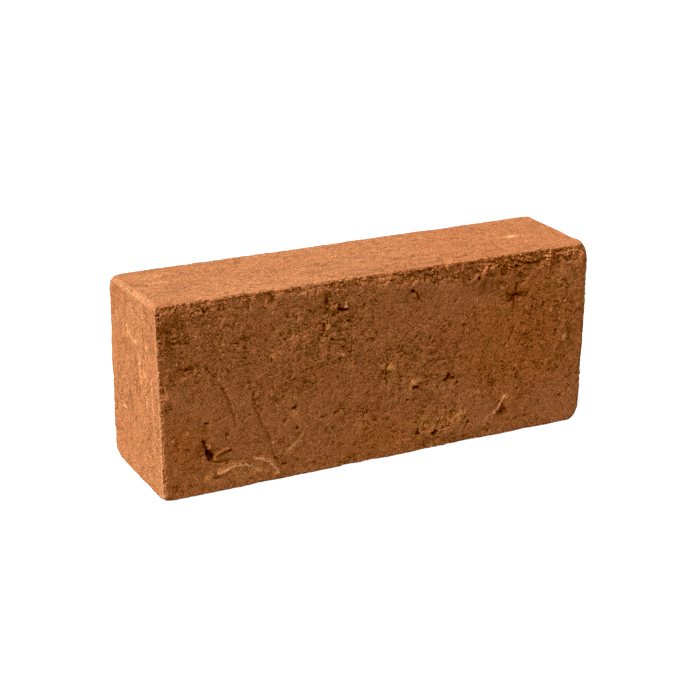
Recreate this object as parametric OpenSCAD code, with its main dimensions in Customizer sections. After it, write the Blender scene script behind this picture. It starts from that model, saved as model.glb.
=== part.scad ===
// A solid fired-clay brick that stands on one of its long narrow sides.
// X runs along its length, Y through its thickness, and Z up the width of its bed faces.
// The origin is the centre of the side that it stands on.

/* [Block] */
// Length, from header to header
length = 250; // [200:1:300]
// Width of the two large bed faces, which stand upright
width = 100; // [80:1:130]
// Thickness, from one bed face to the other
thickness = 65; // [40:1:90]

/* [Worn edges] */
// Radius of the four long edges, along X
long_edge_r = 2; // [0.5:0.5:8]
// Radius of the four upright edges of the headers, along Z
upright_edge_r = 2.5; // [0.5:0.5:8]
// Radius of the four corners of each bed face's outline, along Y
bed_corner_r = 4.5; // [0.5:0.5:12]

/* [Hidden] */
// Colour of the fired clay
clay = [0.62, 0.36, 0.2];
// Smoothness of the rounded edges
$fn = 48;

// A rectangle of size [x, y] about the origin, with its four corners rounded to radius r.
module rounded_rectangle(size, r) {
    square([size.x - 2 * r, size.y], center = true);
    square([size.x, size.y - 2 * r], center = true);
    for (x = [-1, 1], y = [-1, 1])
        translate([x * (size.x / 2 - r), y * (size.y / 2 - r)])
            circle(r = r);
}

// The block is where three rounded prisms meet, one along each axis.
module brick() {
    color(clay)
        translate([0, 0, width / 2])
            intersection() {
                linear_extrude(height = width, center = true)
                    rounded_rectangle([length, thickness], upright_edge_r);
                rotate([90, 0, 0])
                    linear_extrude(height = thickness, center = true)
                        rounded_rectangle([length, width], bed_corner_r);
                rotate([90, 0, 90])
                    linear_extrude(height = length, center = true)
                        rounded_rectangle([thickness, width], long_edge_r);
            }
}

brick();
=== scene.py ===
"""The looks of a solid fired-clay brick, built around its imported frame, with a plain studio stage.

Lengths in the code are millimetres, and become metres where a mesh, camera or light is made.
"""

import itertools
import math
from collections import namedtuple

import bpy
import numpy as np
from mathutils import Matrix, Vector


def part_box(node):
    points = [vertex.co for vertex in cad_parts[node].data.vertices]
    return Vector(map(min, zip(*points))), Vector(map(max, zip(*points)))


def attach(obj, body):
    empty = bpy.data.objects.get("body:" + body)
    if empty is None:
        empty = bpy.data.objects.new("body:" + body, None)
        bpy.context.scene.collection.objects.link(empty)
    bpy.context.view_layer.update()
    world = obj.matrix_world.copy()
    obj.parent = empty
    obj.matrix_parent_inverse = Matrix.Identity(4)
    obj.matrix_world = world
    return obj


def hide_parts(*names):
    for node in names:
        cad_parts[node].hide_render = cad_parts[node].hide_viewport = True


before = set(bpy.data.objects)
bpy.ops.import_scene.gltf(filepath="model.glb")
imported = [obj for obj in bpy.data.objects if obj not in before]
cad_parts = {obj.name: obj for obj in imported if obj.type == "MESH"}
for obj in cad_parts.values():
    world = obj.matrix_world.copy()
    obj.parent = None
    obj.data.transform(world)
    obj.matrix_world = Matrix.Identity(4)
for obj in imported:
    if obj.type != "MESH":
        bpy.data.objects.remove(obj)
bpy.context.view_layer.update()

bl_info = {
    "name": "Fired-clay brick",
    "version": (1, 0, 0),
    "blender": (4, 5, 0),
    "location": "3D View > Sidebar > Brick",
    "description": "Builds a solid fired-clay brick with worn edges, pits and a crumbled edge",
    "category": "Add Mesh",
}

MM = 0.001
NODE = "brick"
BODY = "root"

# The CAD block, in millimetres.
BLOCK_LOW, BLOCK_HIGH = (np.array(corner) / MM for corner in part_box(NODE))
BLOCK_SIZE = BLOCK_HIGH - BLOCK_LOW
BLOCK_CENTRE = (BLOCK_LOW + BLOCK_HIGH) / 2

# ---------------------------------------------------------------------------------------------
# The six faces, and the marks on them
# ---------------------------------------------------------------------------------------------

X, Y, Z = np.eye(3, dtype=int)
# Each face as someone looks straight at it: the way it looks out, to its right, and up.
FACES = {
    "front": (-Y, X, Z),
    "back": (Y, -X, Z),
    "left": (-X, -Y, Z),
    "right": (X, Y, Z),
    "top": (Z, X, Y),
    "under": (-Z, X, -Y),
}
FACE_NAMES = list(FACES)

# How far each corner of the block pulled in along X, Y and Z as the clay dried and fired.
CORNER_SHRINKAGE = {
    (-1, -1, -1): (2, 0, 0),
    (1, -1, -1): (3, 0.5, 0),
    (-1, 1, -1): (1, 0, 2),
    (1, 1, -1): (1, 0.5, 0),
    (-1, -1, 1): (0, 1, 0),
    (1, -1, 1): (2.5, 1.5, 0),
    (-1, 1, 1): (0.5, 0, 2),
    (1, 1, 1): (0, 1, 0),
}

# Extra rounding of a knocked corner: its radius, and how far along the edges it fades out.
KNOCKED_CORNERS = {
    (-1, 1, 1): (2.2, 8),
    (1, -1, 1): (5, 9),
    (1, -1, -1): (4, 8),
    (-1, -1, -1): (2, 7),
    (-1, 1, -1): (2.5, 8),
    (1, 1, -1): (3, 9),
}

# A mark is placed by its distance right of a face's left edge and above its lower edge. Its amount
# is a depth or height in millimetres, or for colour a strength from 0 to 1.
# Spot: an oval, its size across and up before it is turned anticlockwise by some degrees.
Spot = namedtuple("Spot", "across up wide high amount turn face", defaults=(0, "front"))
# Line: a groove, crack or streak of some width along a path of places.
Line = namedtuple("Line", "path width amount face", defaults=("front",))

# Thin curved lips of clay, which stand out and show pale: paler clay, and a painted highlight along each
# lip.
LOWER_LIP = ((51, 13.5), (53, 13.5), (57, 11.5), (60, 9), (62, 6), (63, 3.5))
LEFT_LIP = ((30, 9.5), (38, 12), (45, 12), (49, 9.5), (52.5, 7))
RIGHT_LIP = ((198, 20), (195.5, 16), (193, 13))

# Steep-sided holes, where grit or roots burned or fell out.
HOLLOWS = (
    # The torn-out hole low on the front bed face, with its narrow upper end.
    Line(((24.5, 21.5), (26.5, 19.5), (26, 18)), 3.4, 2.2),
    Line(((22.5, 28), (23.5, 24), (25, 20.5)), 1.4, 1.4),
    Spot(36.5, 21, 2.4, 1.6, 1.2, 20),
    Spot(34.5, 15, 2, 1.4, 1),
    Spot(24.5, 37.5, 3, 1.2, 1.2, 10),
    Spot(72.5, 37, 2.8, 2.6, 1.5),
    Spot(67, 31, 1.6, 1.2, 1),
    Spot(73.5, 26.5, 2, 1.2, 0.9, 20),
    Spot(94, 69.5, 3, 1.6, 1.3, -10),
    Spot(96, 30, 2.6, 1.4, 1, 20),
    Spot(119.5, 22, 3.4, 1.4, 1, -20),
    Spot(117.5, 66, 1.8, 2.4, 1.2),
    Spot(151.5, 62, 1.4, 2.6, 1.4),
    Spot(126, 50.5, 1.6, 1.2, 0.9),
    Spot(143, 35.5, 5, 2, 1.5, 5),
    Spot(149.5, 40.5, 2, 1.4, 1),
    Spot(138, 30, 2.6, 1.4, 1, 15),
    Line(((163.5, 39.5), (162.5, 36.5)), 2.6, 1.5),
    Line(((160.5, 37), (166.5, 37)), 2.2, 1.4),
    Spot(169, 34.5, 2, 2, 1.3),
    Spot(213, 8, 2, 1.6, 1.2),
    Spot(207.5, 25, 2, 1.8, 1.2),
    Spot(176.5, 10.5, 2.4, 1.8, 1.6),
    Spot(143.5, 16.5, 2, 1.6, 1.2),
    Spot(155.5, 8.5, 4.6, 4, 1.4, 10),
    Spot(145.5, 9.5, 3, 2.4, 1.3),
    Spot(205, 35.5, 1.8, 1.6, 1.1),
    Spot(91, 89.5, 1.8, 4.2, 1.5),
    Line(((98, 84.5), (100, 83.5), (102, 84)), 1.8, 1.5),
    Line(((98.5, 84), (98, 86.5)), 1, 1),
    Line(((100, 84), (100, 86)), 1, 1),
    Spot(89, 76.5, 1.8, 5.4, 1.3, 6),
    Spot(103.5, 78, 2.6, 1.6, 1.3, 10),
    Spot(102.5, 73.5, 2.2, 1.2, 1.1),
    Spot(98.5, 58.5, 2.4, 1.2, 1, -20),
    Spot(140.5, 88, 2.8, 2.4, 1.6),
    Line(((140.5, 88), (143.5, 85.5), (144, 83.5)), 1.4, 1.3),
    Spot(147.5, 94, 1.6, 4, 1.4),
    Spot(180.5, 89.5, 2.2, 1.8, 1.4),
    Spot(184.5, 90.5, 1.8, 1.4, 1.2),
    Spot(203.5, 93, 3, 2, 1.6),
    Spot(200, 64, 2, 1.6, 1.1),
    Spot(230.5, 54.5, 2.2, 2, 1.3),
    Spot(235, 70.5, 1.6, 2, 1.1),
    Spot(171.5, 65.5, 2.2, 1.2, 1, 15),
    Spot(61.5, 12, 2, 1.6, 1.1),
    Spot(66, 8, 2, 1.4, 1),
    Spot(71.5, 5, 1.8, 1.4, 1),
    Spot(8, 80.5, 6, 1.6, 0.7, -12),
    Spot(15.5, 66, 4.4, 1.4, 1.1),
    Spot(25.5, 64.5, 2.2, 1.2, 0.9),
    Spot(41.5, 75.5, 2.6, 1.4, 1, 15),
    Spot(46, 72.5, 2.2, 1.2, 1, -10),
    Spot(61, 70.5, 1.6, 2, 0.9),
    # The upper long side, the left header and the faces turned away.
    Spot(6.5, 42.5, 2.6, 1.6, 0.5, face="top"),
    Spot(76.5, 37.5, 3, 1.4, 0.6, 10, "top"),
    Spot(120.5, 43.5, 2.6, 1.8, 0.6, face="top"),
    Spot(219, 47.5, 2.2, 1.8, 0.6, face="top"),
    Spot(188, 27.5, 2, 1.8, 0.7, face="top"),
    Spot(209, 17, 2.2, 1.4, 0.5, face="top"),
    Spot(18, 47, 1.6, 3, 1, 10, "left"),
    Spot(26, 42.5, 1.8, 6.5, 1, 4, "left"),
    Spot(48, 26.5, 2.4, 1.8, 0.9, face="left"),
    Spot(45.5, 21, 2, 1.6, 0.8, face="left"),
    Spot(42.5, 87, 1.2, 4, 0.6, face="left"),
    Spot(43.5, 83, 1.2, 3, 0.6, face="left"),
    Spot(12, 62, 1.4, 3.4, 0.6, face="left"),
    Spot(40, 66, 4, 2.6, 1.8, 20, "back"),
    Spot(96, 22, 5, 2.2, 1.6, -15, "back"),
    Spot(143, 71, 2.4, 2.4, 1.6, face="back"),
    Spot(188, 44, 3.2, 4.2, 2.4, face="back"),
    Spot(221, 82, 5.5, 1.6, 1.4, 10, "back"),
    Spot(18, 62, 2.2, 3.6, 1.2, face="right"),
    Spot(43, 31, 3.2, 1.6, 1, 25, "right"),
    Spot(70, 30, 3, 2, 1.2, face="under"),
    Spot(171, 41, 4, 1.8, 1.2, 15, "under"),
)

# Shallow dents with soft sides.
DENTS = (
    Spot(13.5, 24.5, 4.5, 3, 0.7),
    Spot(198, 12.5, 6, 10, 1.6, -12),
    Spot(28.5, 8, 7, 4, 0.6),
    Spot(113, 18, 6, 4, 0.7),
    Spot(86, 84, 12, 9, 0.9),
    Spot(204, 77, 14, 6, 0.8, 5),
    Spot(5, 86, 16, 14, 0.8),
    Spot(106, 31, 18, 7, 0.3, face="top"),
    Spot(24, 38, 8, 12, 0.4, face="left"),
    Spot(150, 62, 24, 14, 0.8, 10, "back"),
)

# Grit and clay that stand out from a face.
LUMPS = (
    # The flap of clay beside the torn-out hole.
    Spot(26, 24.5, 3.8, 2.4, 1.1, -30),
    Line(((29, 20), (36, 22.5)), 1.6, 0.7),
    # Thin curved lips of clay along the lower edge, and a short one at the right-hand end.
    Line(LOWER_LIP, 1.6, 0.7),
    Line(LEFT_LIP, 2, 0.5),
    Line(RIGHT_LIP, 1.6, 0.7),
    Line(((101.5, 84.5), (101.5, 88)), 1.2, 0.6),
    Spot(100, 60.5, 3.4, 2.4, 1),
    Spot(142.5, 38.5, 4.6, 4, 0.9, 10),
    Spot(199.5, 21, 3.8, 3.6, 1.2),
    Spot(189.5, 11, 1.6, 4, 0.5),
    Spot(182.5, 26.5, 1.8, 1.8, 0.8),
    Spot(236.5, 49.5, 2, 3, 0.9, 20),
    Spot(104, 81.5, 5.5, 3, 0.8, -30),
    Spot(95, 85.5, 4.5, 3, 0.7, 20),
    Spot(94, 71.5, 4, 1.4, 0.5, -10),
    Spot(128, 49, 5, 3, 0.4, -15),
    Spot(22, 49.5, 7, 6, 0.6, 30, "top"),
    Spot(219, 31, 6, 4, 0.4, face="top"),
    Spot(41, 64.5, 3.6, 3, 0.6, face="left"),
    Spot(46, 50, 3, 7, 0.5, -15, "left"),
    Spot(51, 75, 4, 5, 0.5, face="left"),
)

# Scored lines and cracks.
GROOVES = (
    # Two shallow lines that run down and to the right across the front bed face.
    Line(((34.5, 83), (29, 62), (33.5, 53.5)), 1.4, 0.3),
    Line(((33.5, 53.5), (38, 42), (40, 33)), 1.6, 0.7),
    Line(((49.5, 48), (50.5, 43), (51, 39.5), (53.5, 33.5)), 1.6, 0.8),
    Line(((50.5, 43), (54, 39)), 1.2, 0.6),
    Line(((53.5, 33.5), (56.5, 27.5), (59, 21.5), (59.5, 16.5), (64.5, 6.5)), 1.5, 0.6),
    # Cracks that run out from the torn-out hole.
    Line(((29, 18.5), (32, 19.5), (36.5, 21)), 1, 0.6),
    Line(((25.5, 17), (30.5, 15.5), (34.5, 16)), 1, 0.7),
    Line(((8, 29), (9, 25.5)), 1.2, 0.8),
    # A three-armed crack, and short ones near the middle.
    Line(((132, 56.5), (134.5, 57.5), (138, 54.5)), 1.1, 0.9),
    Line(((134.5, 57.5), (134.5, 59.5)), 1.1, 0.8),
    Line(((151.5, 49.5), (161, 48.5)), 1, 0.7),
    Line(((94, 69.5), (102, 68)), 1, 0.7),
    # The crossed crack near the right-hand end.
    Line(((197, 79.5), (201, 78), (204, 78), (211, 76)), 1.1, 0.7),
    Line(((204, 87), (203.5, 82), (204, 78), (202.5, 72), (202, 68.5)), 1.1, 0.6),
    Line(((204, 78), (201, 75.5), (199, 74.5)), 2, 0.7),
    Line(((203, 60), (201, 53)), 1.3, 0.9),
    Line(((235, 82), (237.5, 78.5)), 1.3, 0.9),
    Line(((237, 76.5), (237, 71)), 0.9, 0.5),
    # The foot of the crumbled edge.
    Line(((195.5, 94), (203, 92), (209.5, 93.5), (217, 93), (224, 95.5)), 1.2, 1),
    Line(((232, 95), (237, 91.5)), 1.4, 1),
    Line(((60, 30), (92, 74)), 1.2, 0.6, "back"),
    Line(((22, 84), (31, 58)), 1.2, 0.5, "right"),
)

# Where the struck bed faces are flaky; between these they are smoother.
ROUGH = (
    Spot(22, 80, 76, 54, 1),
    Spot(96, 78, 64, 56, 1),
    Spot(72, 56, 60, 34, 0.6),
    Spot(142, 50, 64, 44, 0.8),
    Spot(226, 58, 50, 66, 0.7),
    Spot(156, 13, 50, 24, 0.9),
    Spot(108, 28, 50, 26, 0.6),
    Spot(196, 36, 40, 26, 0.5),
    Spot(60, 70, 110, 54, 0.9, face="back"),
    Spot(185, 32, 110, 54, 0.8, face="back"),
)

# Spots inside a face where the surface broke up.
CRUMBLED = (
    Line(((94, 84), (105, 78)), 10, 0.6),
    Line(((66, 75), (78, 78)), 6, 0.6),
    Line(((88, 73), (92, 92)), 6, 0.6),
    Line(((144, 36), (149, 36)), 5, 0.6),
    Line(((194, 15), (200, 19)), 6, 0.6),
    Line(((146, 12), (163, 14)), 9, 0.7),
    Line(((8, 63), (22, 67)), 6, 0.6),
    Line(((160, 68), (172, 64)), 5, 0.5),
    Line(((140, 60), (160, 66)), 12, 0.9, "back"),
    Line(((60, 78), (72, 82)), 8, 0.7, "back"),
    Line(((40, 70), (46, 74)), 8, 0.5, "right"),
)

# Edge: a stretch of the edge between two faces, crumbled to some reach on each of them.
Edge = namedtuple("Edge", "first second start end reach_first reach_second depth")

EDGES = (
    # The front upper edge is broken all along, and most at its right-hand half.
    Edge("front", "top", 150, 255, 11, 2, 1.6),
    Edge("front", "top", 184, 232, 15, 2, 0.7),
    Edge("front", "top", 108, 152, 7, 2, 1.6),
    Edge("front", "top", 60, 110, 5.5, 2, 1),
    Edge("front", "top", -5, 62, 7, 1.8, 0.9),
    Edge("front", "left", 52, 100, 4, 0.9, 0.7),
    Edge("front", "left", 0, 60, 2, 0.8, 0.4),
    Edge("front", "right", 20, 100, 3, 1.2, 0.4),
    Edge("front", "under", 98, 120, 5, 2, 0.6),
    Edge("front", "under", 146, 190, 6, 2, 0.7),
    Edge("back", "top", 40, 130, 4, 1.6, 0.9),
    Edge("back", "under", 20, 100, 5, 2, 1),
    Edge("back", "right", 30, 80, 4, 2, 0.9),
    Edge("back", "left", 10, 50, 3, 1.5, 0.7),
)
# What every edge has lost besides, and how far past its ends that is worked out.
EDGE_REACH = 1.6
EDGE_LOSS = 0.25
EDGE_PAST = 9.0

# How each kind of mark sinks: solid out to this share of its half width, gone at that one, and the
# dirt and painted shade in it for each millimetre of its depth.
SUNKEN = (
    (HOLLOWS, 0.6, 1.05, 0.4),
    (DENTS, 0.1, 1.1, 0.1),
    (GROOVES, 0.3, 1.1, 0.35),
)
# The most that dirt and painted shade darken a sunken mark, from 0 to 1.
MOST_DIRT_AND_SHADE = 0.75
# How broken the clay is where its facets begin to show, from 0 to 1.
FACETED = 0.4

# Places where paler, yellower clay shows.
OCHRE = (
    Line(((24, 9), (38, 12), (45, 12), (50, 8.5)), 6, 1),
    Line(((51, 13), (57, 11.5), (60.5, 8.5), (62.5, 4)), 5, 1),
    Spot(69.5, 15.5, 11, 6, 0.9, 25),
    Spot(46, 8, 40, 14, 0.5, -6),
    Spot(72.5, 33.5, 6, 4, 0.6),
    Line(((144, 15.5), (163, 13), (172, 16)), 8, 0.9),
    Spot(163, 17.5, 7, 5, 1),
    Spot(158, 14, 40, 16, 0.5, 5),
    Spot(113, 21, 18, 9, 0.4),
    Spot(142.5, 38, 14, 9, 0.6),
    Spot(128, 49.5, 12, 7, 0.7, -15),
    Spot(200.5, 20, 9, 7, 0.9),
    Spot(206, 38, 4, 3, 0.7),
    Line(((57, 66), (65, 66.5)), 2.4, 0.8),
    Spot(70, 77, 26, 9, 0.4),
    Spot(235, 82, 18, 18, 0.3),
    Spot(40, 32, 220, 180, 0.1, face="top"),
    Spot(32, 50, 180, 280, 0.15, face="left"),
    Spot(18, 52, 34, 16, 0.5, 10, "top"),
    Spot(222, 30, 30, 12, 0.4, face="top"),
    Spot(42, 62, 14, 40, 0.5, face="left"),
    Spot(24, 74, 22, 10, 0.5, face="left"),
    Spot(70, 40, 60, 20, 0.5, 10, "back"),
    Spot(190, 76, 50, 14, 0.6, -8, "back"),
    Spot(30, 26, 26, 18, 0.5, face="right"),
)

# Scuffs, grains and chips that show bright, and painted highlights along lips of clay and the header's
# edges.
PALE = (
    # Lips of clay: paler clay, with a painted highlight along each lip.
    Line(LOWER_LIP, 1.6, 0.8),
    Line(LEFT_LIP, 1.8, 0.6),
    Line(((69.5, 15.5), (74.5, 18.5)), 1.5, 0.6),
    Line(((59.5, 20), (62.5, 22)), 1.2, 0.5),
    # The right-hand lip: paler clay, with a painted highlight along it.
    Line(RIGHT_LIP, 1.3, 0.5),
    Line(((101.5, 84.5), (101.5, 88)), 1.1, 0.8),
    Line(((101, 80.5), (102.5, 77.5)), 1.1, 0.6),
    Spot(26, 24.5, 3.2, 1.8, 0.4, -30),
    Spot(22, 37.5, 3, 1.2, 0.6),
    Spot(6.5, 31, 1.4, 1.4, 0.8),
    Spot(14, 33, 1.4, 1.4, 0.8),
    Spot(63.5, 39.5, 1.6, 1.4, 0.8),
    Spot(86, 16, 1.6, 1.4, 0.8),
    Spot(72, 17.5, 1.6, 1.4, 0.8),
    Spot(76, 19, 1.4, 1.4, 0.7),
    Spot(123, 51.5, 3, 1.6, 0.7),
    Spot(128.5, 49, 4.6, 2.6, 0.6, -15),
    Spot(100, 60.5, 3.2, 2.2, 0.5),
    Spot(155, 35, 1.5, 1.5, 0.9),
    Spot(160.5, 32.5, 1.5, 1.5, 0.8),
    Spot(182.5, 26.5, 2.6, 2.4, 1),
    Spot(142.5, 38.5, 4, 3.4, 0.5, 10),
    Spot(199.5, 21, 3.4, 3.2, 0.7),
    Spot(61, 70.5, 1.2, 3, 0.7),
    Spot(61.5, 88.5, 1.6, 1.4, 0.8),
    Spot(63.5, 85, 1.6, 1.4, 0.7),
    Spot(50.5, 69.5, 1.4, 1.6, 0.7),
    Spot(227, 66.5, 1.9, 3, 0.9),
    Spot(236.5, 49.5, 2.6, 3.8, 1, 20),
    Spot(242, 88.5, 1.6, 1.6, 0.9),
    Spot(179, 77.5, 1.5, 1.5, 0.8),
    # Painted highlights along the header's upper and front edges, where their rounding catches the
    # light.
    Line(((1.5, 8), (1.5, 56)), 3, 0.3, "top"),
    Line(((8, 98.5), (60, 98.5)), 3, 0.3, "left"),
    Line(((63.5, 2), (63.5, 98)), 2.4, 0.4, "left"),
    Spot(22, 49.5, 5, 4.4, 0.9, 20, "top"),
    Line(((11, 40), (21, 38)), 2, 0.7, "top"),
    Spot(172, 51.5, 2.4, 2, 0.8, face="top"),
    Spot(219, 31, 9, 4, 0.8, face="top"),
    Spot(221, 20, 3, 1.8, 0.7, face="top"),
    Line(((24.5, 79.5), (26, 76.5), (31, 74.5), (37.5, 74)), 1.4, 1, "left"),
    Spot(51, 75, 3, 4.4, 0.7, face="left"),
    Spot(41, 64.5, 3, 2.4, 0.6, face="left"),
    Line(((47, 62.5), (47.5, 59)), 1.3, 0.7, "left"),
    Line(((44.5, 51), (47.5, 48.5), (48, 43)), 1.6, 0.7, "left"),
    Spot(32.5, 49, 1.6, 1.6, 1, face="left"),
    Line(((10, 84), (11.5, 78)), 1.2, 0.7, "left"),
    Line(((33, 92), (35, 86)), 1.2, 0.6, "left"),
    Line(((38.5, 70), (40, 62), (41, 55)), 1.2, 0.6, "left"),
    Line(((55, 60), (54.5, 46), (56, 38)), 1.2, 0.6, "left"),
    Line(((20, 33.5), (15, 33)), 1.3, 0.8, "left"),
)

# Deeper orange patches, fired harder.
RUST = (
    Spot(208, 56, 130, 120, 0.5),
    Spot(12, 26, 50, 60, 0.35),
    Spot(130, 12, 120, 40, 0.3),
    Spot(205, 32, 200, 160, 0.35, face="top"),
    Spot(60, 50, 130, 110, 0.4, face="back"),
    Spot(30, 60, 70, 90, 0.3, face="right"),
)

# Cooler, darker stains, and painted shade in some dents.
STAINS_AND_SHADE = (
    Spot(203.5, 77.5, 18, 9, 0.9, 5),
    Spot(200.5, 75, 5, 3.5, 0.8, 20),
    Spot(203.5, 78, 6, 26, 0.8),
    Spot(91, 89, 5, 8, 0.9),
    Spot(185, 86, 46, 16, 0.5),
    Spot(145, 84, 26, 14, 0.4),
    Spot(96, 80, 24, 22, 0.4),
    Spot(8, 82, 22, 40, 0.5),
    Spot(215, 32, 180, 160, 0.12, face="top"),
    # Painted shade in the dent here.
    Spot(28.5, 8, 6, 4, 0.9),
    Spot(49, 4, 6, 3, 0.7),
    # Painted shade in the dent here.
    Spot(198, 13, 6, 11, 1, -12),
    Spot(155.5, 9, 8, 6, 0.6),
    Spot(22, 24, 16, 14, 0.4),
    Spot(150, 30, 30, 8, 0.3),
    # Painted shade in the dent here.
    Spot(106, 31, 22, 8, 0.5, face="top"),
    Spot(150, 22, 60, 10, 0.3, face="top"),
    # Painted shade in the dent here.
    Spot(24, 36, 10, 26, 0.4, face="left"),
    Spot(120, 60, 30, 24, 0.4, face="back"),
)

# The name of each kind of colour mark, and the share of it over which it fades out.
COLOURED = {"ochre": (OCHRE, 0.7), "pale": (PALE, 0.4), "rust": (RUST, 0.9), "stain": (STAINS_AND_SHADE, 0.9)}
# How far pale grains and scuffs stand proud, in millimetres.
PALE_PROUD = 0.2

# The grain: the width of its bumps in millimetres, and each one's share of the grain's height.
GRAIN_SIZES = ((5.0, 0.8), (2.6, 0.7), (1.5, 0.4))


def smooth_step(low, high, value):
    """0 below low, 1 above high, and an even curve between them."""
    share = np.clip((value - low) / (high - low), 0.0, 1.0)
    return share * share * (3.0 - 2.0 * share)


def fading(near, far, gap):
    """1 nearer than one distance, and 0 farther than another."""
    return 1.0 - smooth_step(near, far, gap)


def raise_to(mask, where, values):
    """Raises a mask to the values where they are the higher."""
    mask[where] = np.maximum(mask[where], values)


class ClayNoise:
    """Smooth and cellular noise in three dimensions, the same on every run for a given seed.

    Points divided by a size in mm give bumps or clods about that wide. A number added to them shifts
    the pattern, so that no two patterns line up.
    """

    TABLE = 256

    def __init__(self, seed):
        draw = np.random.default_rng(seed)
        self.order = draw.permutation(self.TABLE)
        slopes = draw.normal(size=(self.TABLE, 3))
        self.slopes = slopes / np.linalg.norm(slopes, axis=1, keepdims=True)
        self.spots = draw.random((self.TABLE, 3))
        self.chances = draw.random(self.TABLE)

    def pick(self, cells):
        """A place in the tables for each cell, given as whole numbers."""
        x, y, z = (cells[:, axis] % self.TABLE for axis in range(3))
        return self.order[(self.order[(self.order[x] + y) % self.TABLE] + z) % self.TABLE]

    def smooth(self, points):
        """Soft bumps about one unit across, from about -1 to 1."""
        cells = np.floor(points).astype(int)
        inside = points - cells
        blend = inside**3 * (inside * (inside * 6.0 - 15.0) + 10.0)
        total = np.zeros(len(points))
        for corner in np.ndindex(2, 2, 2):
            slope = self.slopes[self.pick(cells + corner)]
            weight = np.prod(np.where(corner, blend, 1.0 - blend), axis=1)
            total += weight * np.einsum("ij,ij->i", slope, inside - corner)
        return total * 1.6

    def bend(self, points, size, share, shifts):
        """Moves that put points a little aside, so that cells around them get wavy outlines."""
        return share * np.stack([self.smooth(points / size + shift) for shift in shifts], axis=1)

    def cells(self, points):
        """Clods about one unit across: how near each point is to a crevice, its clod's chance number,
        how far the clod's tilted facet has sunk there, and how far above the clod's middle it is."""
        base = np.floor(points).astype(int)
        nearest = np.full(len(points), 9.0)
        second = nearest.copy()
        owner = np.zeros(len(points), dtype=int)
        away = np.zeros_like(points)
        for step in np.ndindex(3, 3, 3):
            cell = base + np.array(step) - 1
            place = self.pick(cell)
            offset = points - cell - self.spots[place]
            gap = np.linalg.norm(offset, axis=1)
            closer = gap < nearest
            second = np.where(closer, nearest, np.minimum(second, gap))
            nearest = np.where(closer, gap, nearest)
            owner = np.where(closer, place, owner)
            away = np.where(closer[:, None], offset, away)
        facet = np.einsum("ij,ij->i", away, self.slopes[owner])
        return second - nearest, self.chances[owner], facet, away[:, 2]


def past(points, way):
    """How far each point is along a way of a face, from where the block begins on that way."""
    return (points - BLOCK_CENTRE) @ way + abs(BLOCK_SIZE @ way) / 2


def below_face(points, name):
    """How deep each point is under the plane of a face."""
    return past(points, -FACES[name][0])


def nearest_face(points):
    """The place in the list of faces of the one that each point is least deep under."""
    return np.stack([below_face(points, name) for name in FACE_NAMES]).argmin(axis=0)


def place_on_face(points, name):
    """Distance right of a face's left edge and above its lower edge."""
    _, right, above = FACES[name]
    return past(points, right), past(points, above)


class FaceMap:
    """Where each point of the surface lies on its face, for placing marks."""

    # How far from a line its mark is worked out, as a share of half its width.
    FARTHEST = 1.6

    def __init__(self, points, noise):
        self.face = nearest_face(points)
        self.across = np.zeros(len(points))
        self.up = np.zeros(len(points))
        for index, name in enumerate(FACE_NAMES):
            on = self.face == index
            self.across[on], self.up[on] = place_on_face(points[on], name)
        # Marks get ragged outlines: each place is read a little to one side of where it is, by bumps
        # of some size and height in mm.
        for size, share in ((1.2, 0.35), (2.4, 0.5), (6.0, 0.3)):
            self.across += share * noise.smooth(points / size)
            self.up += share * noise.smooth(points / size + 31.0)
        self.ragged = 1.0 + 0.5 * noise.smooth(points / 1.8 + 19.0)

    def oval(self, mark):
        """0 at the middle of an oval mark and 1 on its outline, with the points it can reach."""
        half = max(mark.wide, mark.high)
        near = self.face == FACE_NAMES.index(mark.face)
        near &= (abs(self.across - mark.across) < half) & (abs(self.up - mark.up) < half)
        where = np.flatnonzero(near)
        right = self.across[where] - mark.across
        above = self.up[where] - mark.up
        turn = math.radians(mark.turn)
        along = right * math.cos(turn) + above * math.sin(turn)
        over = above * math.cos(turn) - right * math.sin(turn)
        return where, np.hypot(along / (mark.wide / 2), over / (mark.high / 2))

    def line(self, mark):
        """0 on a line mark and 1 at its sides, with the points it can reach."""
        on = np.flatnonzero(self.face == FACE_NAMES.index(mark.face))
        spots = np.stack([self.across[on], self.up[on]], axis=1)
        gap = np.full(len(on), np.inf)
        for start, end in itertools.pairwise(np.array(mark.path)):
            way = end - start
            share = np.clip((spots - start) @ way / (way @ way), 0.0, 1.0)
            gap = np.minimum(gap, np.linalg.norm(spots - start - share[:, None] * way, axis=1))
        gap /= mark.width / 2
        near = gap < self.FARTHEST
        return on[near], gap[near]

    def reach(self, mark):
        """0 at the middle of any mark and 1 on its ragged outline, with the points it can reach."""
        where, gap = self.line(mark) if isinstance(mark, Line) else self.oval(mark)
        return where, gap * self.ragged[where]


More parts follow.
